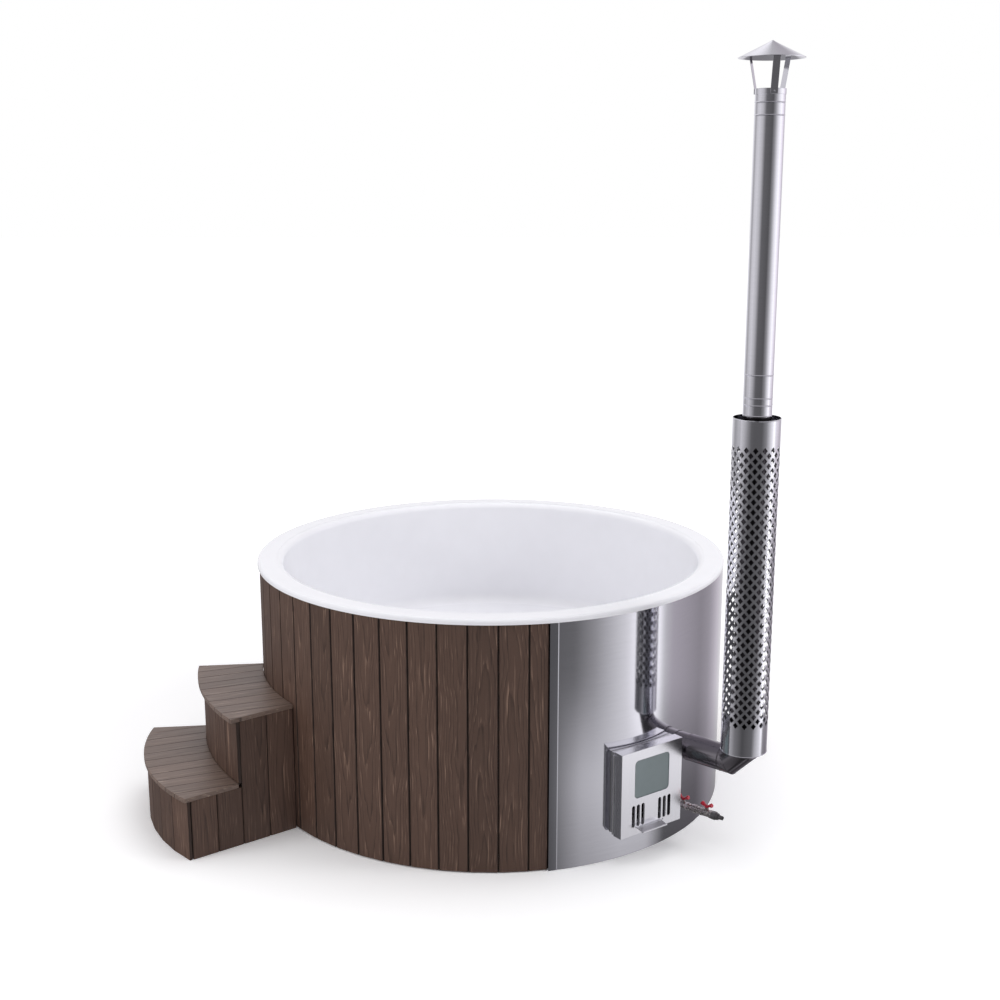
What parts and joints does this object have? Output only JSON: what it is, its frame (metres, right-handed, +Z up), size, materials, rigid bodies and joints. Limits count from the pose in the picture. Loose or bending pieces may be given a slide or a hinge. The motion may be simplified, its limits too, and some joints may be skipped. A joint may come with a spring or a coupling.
{
  "type": "hot tub",
  "caption": "Round wood-clad hot tub with a moulded bench liner, built-in wood stove with a glazed door, side chimney behind a perforated guard, ball-valve drain line and stepped stair.",
  "frame": {"origin": "the tub's axis at ground level, on the underside of the middle joist", "axes": "+Z up along the tub's axis; the stove door faces azimuth -54 degrees, the flue and drain -42 degrees, the stair -158.3 degrees, counted from +X towards +Y"},
  "size_m": [2.5695, 2.0156, 3.067],
  "materials": {
    "white_liner": "gloss",
    "stained_wood": "satin stain",
    "weathered_wood": "satin stain",
    "bare_wood": "sawn",
    "brushed_stainless": "bright brushed",
    "mineral_board": "matte",
    "black_steel": "matte",
    "cast_grate": "matte",
    "gasket_rope": "matte",
    "stove_glass": "polished",
    "red_handle": "satin",
    "plated_brass": "polished",
    "zinc_steel": "satin"
  },
  "bodies": {
    "tub": {"liner": "white_liner", "rim_ring": "bare_wood", "top_hoop": "bare_wood", "middle_hoop": "bare_wood", "bottom_hoop": "bare_wood", "frame_posts": "bare_wood", "cladding_boards": "stained_wood", "floor_joists": "bare_wood", "floor_deck": "bare_wood", "floor_bearers": "bare_wood", "steel_wall": "brushed_stainless", "fire_board": "mineral_board", "wall_trims": "brushed_stainless", "stove_jacket": "brushed_stainless", "firebox": "black_steel", "fire_grate": "cast_grate", "smoke_box": "brushed_stainless", "circulation_pipes": "brushed_stainless", "circulation_flanges": "brushed_stainless", "door_frame": "brushed_stainless", "hinge_leaf_frame": "brushed_stainless", "hinge_pin": "brushed_stainless", "flue_stub": "brushed_stainless", "flue_pipe": "brushed_stainless", "flue_elbow": "brushed_stainless", "lower_pipe": "brushed_stainless", "upper_pipe": "brushed_stainless", "guard_tube": "brushed_stainless", "guard_spiders": "brushed_stainless", "cap_legs": "brushed_stainless", "cap_rivets": "brushed_stainless", "rain_cap": "brushed_stainless", "floor_drain": "brushed_stainless", "drain_pipe": "brushed_stainless", "valve_1_body": "plated_brass", "pipe_union": "plated_brass", "valve_2_body": "plated_brass", "drain_reducer": "zinc_steel", "hose_nozzle": "brushed_stainless", "stair_side_boards": "stained_wood", "stair_riser_boards": "stained_wood", "lower_tread": "weathered_wood", "upper_tread": "weathered_wood", "stair_bearers": "bare_wood", "stair_posts": "bare_wood"},
    "stove_door": {"hinge_leaf_door": "brushed_stainless", "door_pan": "brushed_stainless", "door_front": "brushed_stainless", "door_gasket": "gasket_rope", "window_glass": "stove_glass", "glass_retainer": "brushed_stainless", "retainer_screws": "brushed_stainless", "slide_guides": "brushed_stainless"},
    "air_slide": {"air_slide": "brushed_stainless"},
    "valve_1_turn": {"valve_1_ball": "plated_brass", "valve_1_handle": "red_handle"},
    "valve_2_turn": {"valve_2_ball": "plated_brass", "valve_2_handle": "red_handle"}
  },
  "joints": [
    {"name": "door_hinge", "type": "hinge", "parent": "tub", "child": "stove_door", "pos_m": [0.47074, -0.92149, 0.2875], "axis": [0, 0, -1], "range_deg": [0, 110]},
    {"name": "air_slide", "type": "slide", "parent": "stove_door", "child": "air_slide", "axis": [0.809, 0.5878, 0], "range_m": [0, 0.01225]},
    {"name": "valve_1", "type": "hinge", "parent": "tub", "child": "valve_1_turn", "pos_m": [0.77436, -0.69723, 0.141], "axis": [0, 0, 1], "range_deg": [0, 90]},
    {"name": "valve_2", "type": "hinge", "parent": "tub", "child": "valve_2_turn", "pos_m": [0.85759, -0.77218, 0.141], "axis": [0, 0, 1], "range_deg": [0, 90]}
  ]
}
